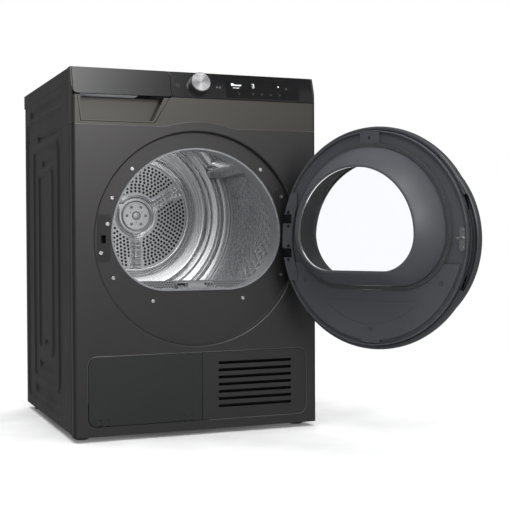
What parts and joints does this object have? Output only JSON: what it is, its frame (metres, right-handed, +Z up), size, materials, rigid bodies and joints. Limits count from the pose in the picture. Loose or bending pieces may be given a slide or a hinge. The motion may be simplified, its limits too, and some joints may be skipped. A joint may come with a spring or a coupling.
{
  "type": "clothes dryer",
  "caption": "Front-loading heat-pump clothes dryer with a round side-hinged door, slanted control panel with rotary knob, pull-out water tank drawer, louvred kick panel and exchanger flap.",
  "frame": {"origin": "on the floor under the middle of the cabinet, in the plane of the feet", "axes": "+Z up, -Y out of the front, +X to the viewer's right when facing the front"},
  "size_m": [0.7896, 1.0455, 0.85],
  "materials": {
    "body_paint": "dark metallic satin",
    "galvanised": "zinc sheet",
    "fascia_plastic": "metallic satin",
    "cover_plastic": "satin",
    "gloss_black": "gloss",
    "knob_metal": "spun",
    "kick_plastic": "fine grain",
    "black_plastic": "fine grain",
    "grey_plastic": "moulded",
    "base_plastic": "moulded",
    "door_plastic": "fine grain",
    "door_rim": "satin gloss",
    "seal_rubber": "matte",
    "clear_glass": "clear",
    "lamp_lens": "frosted",
    "stainless": "stainless",
    "lifter_steel": "stainless",
    "screw_steel": "bright",
    "machined_steel": "turned",
    "bearing_bronze": "sintered",
    "motor_iron": "coated",
    "fin_aluminium": "fins",
    "copper_pipe": "drawn tube",
    "board": "circuit board",
    "belt_rubber": "ribbed",
    "roller_plastic": "nylon",
    "tank_plastic": "translucent",
    "filter_plastic": "mesh",
    "foot_rubber": "matte"
  },
  "bodies": {
    "cabinet": {"left_side_panel": "body_paint", "right_side_panel": "body_paint", "front_panel": "body_paint", "fascia": "fascia_plastic", "control_glass": "gloss_black", "control_board": "board", "top_cover": "cover_plastic", "rear_panel": "galvanised", "rear_duct": "black_plastic", "base_tray": "base_plastic", "grille_panel": "kick_plastic", "exchanger_cover": "grey_plastic", "opening_ring": "grey_plastic", "drum_front_seal": "seal_rubber", "rear_bearing": "bearing_bronze", "motor_housing": "motor_iron", "belt": "belt_rubber", "compressor": "motor_iron", "evaporator": "fin_aluminium", "condenser": "fin_aluminium", "refrigerant_pipes": "copper_pipe", "drain_pump": "base_plastic", "drain_spigot": "black_plastic", "cord_inlet": "black_plastic", "latch_plate": "black_plastic", "front_screws": "screw_steel", "hinge_bracket": "body_paint", "moisture_bars": "stainless", "drum_lamp": "lamp_lens"},
    "door": {"door_shell": "door_rim", "door_inner_frame": "door_plastic", "door_hinge_plate": "door_plastic", "door_bowl": "door_plastic", "door_glass": "clear_glass", "door_window": "clear_glass", "door_seal": "seal_rubber", "door_cover_plate": "door_plastic", "door_screws": "screw_steel", "door_striker": "screw_steel"},
    "drum": {"drum_shell": "stainless", "drum_back": "stainless", "drum_hub": "stainless", "drum_shaft": "machined_steel", "lifters": "lifter_steel"},
    "rotor": {"motor_shaft": "machined_steel", "fan_impeller": "roller_plastic"},
    "idler": {"idler_arm": "machined_steel"},
    "idler_wheel": {"idler_pulley": "roller_plastic"},
    "front_roller_left": {"roller_left": "roller_plastic"},
    "front_roller_right": {"roller_right": "roller_plastic"},
    "knob": {"program_knob": "knob_metal"},
    "tank_drawer": {"tank_front": "gloss_black", "tank_grip": "fascia_plastic", "water_tank": "tank_plastic"},
    "filter": {"lint_filter": "filter_plastic"},
    "flap": {"exchanger_flap": "kick_plastic"},
    "foot_front_left": {"levelling_feet_front_left": "foot_rubber"},
    "foot_front_right": {"levelling_feet_front_right": "foot_rubber"},
    "foot_rear_left": {"levelling_feet_rear_left": "foot_rubber"},
    "foot_rear_right": {"levelling_feet_rear_right": "foot_rubber"}
  },
  "joints": [
    {"name": "door_hinge", "type": "hinge", "parent": "cabinet", "child": "door", "pos_m": [0.23, -0.317, 0.46], "axis": [0, 0, 1], "range_deg": [-120.6, 9.4]},
    {"name": "drum_spin", "type": "hinge", "parent": "cabinet", "child": "drum", "pos_m": [0, 0, 0.524], "axis": [0, 1, 0], "continuous": true},
    {"name": "motor_spin", "type": "hinge", "parent": "cabinet", "child": "rotor", "pos_m": [0.205, 0, 0.17], "axis": [0, 1, 0], "continuous": true},
    {"name": "idler_tension", "type": "hinge", "parent": "cabinet", "child": "idler", "pos_m": [0.06, 0.17, 0.15], "axis": [0, 1, 0], "range_deg": [0, 10], "stiffness_Nm_per_rad": 4, "springref_deg": -28.65},
    {"name": "idler_spin", "type": "hinge", "parent": "idler", "child": "idler_wheel", "pos_m": [0.13492, 0.181, 0.15546], "axis": [0, 1, 0], "continuous": true},
    {"name": "roller_left_spin", "type": "hinge", "parent": "cabinet", "child": "front_roller_left", "pos_m": [-0.20209, -0.217, 0.28316], "axis": [0, 1, 0], "continuous": true},
    {"name": "roller_right_spin", "type": "hinge", "parent": "cabinet", "child": "front_roller_right", "pos_m": [0.20209, -0.217, 0.28316], "axis": [0, 1, 0], "continuous": true},
    {"name": "knob_turn", "type": "hinge", "parent": "cabinet", "child": "knob", "pos_m": [0.002, -0.28987, 0.81941], "axis": [0, -0.9517, 0.307], "continuous": true},
    {"name": "tank_slide", "type": "slide", "parent": "cabinet", "child": "tank_drawer", "axis": [0, -1, 0], "range_m": [0, 0.42]},
    {"name": "filter_lift", "type": "slide", "parent": "cabinet", "child": "filter", "axis": [0, 0, 1], "range_m": [0, 0.16]},
    {"name": "flap_hinge", "type": "hinge", "parent": "cabinet", "child": "flap", "pos_m": [-0.135, -0.2975, 0.047], "axis": [1, 0, 0], "range_deg": [0, 90]},
    {"name": "foot_front_left_screw", "type": "slide", "parent": "cabinet", "child": "foot_front_left", "axis": [0, 0, -1], "range_m": [0, 0.012]},
    {"name": "foot_front_right_screw", "type": "slide", "parent": "cabinet", "child": "foot_front_right", "axis": [0, 0, -1], "range_m": [0, 0.012]},
    {"name": "foot_rear_left_screw", "type": "slide", "parent": "cabinet", "child": "foot_rear_left", "axis": [0, 0, -1], "range_m": [0, 0.012]},
    {"name": "foot_rear_right_screw", "type": "slide", "parent": "cabinet", "child": "foot_rear_right", "axis": [0, 0, -1], "range_m": [0, 0.012]}
  ],
  "couplings": [
    {"joint": "motor_spin", "follows": "drum_spin", "ratio": 23.667},
    {"joint": "idler_spin", "follows": "drum_spin", "ratio": -14.2},
    {"joint": "roller_left_spin", "follows": "drum_spin", "ratio": -9.4667},
    {"joint": "roller_right_spin", "follows": "drum_spin", "ratio": -9.4667}
  ]
}
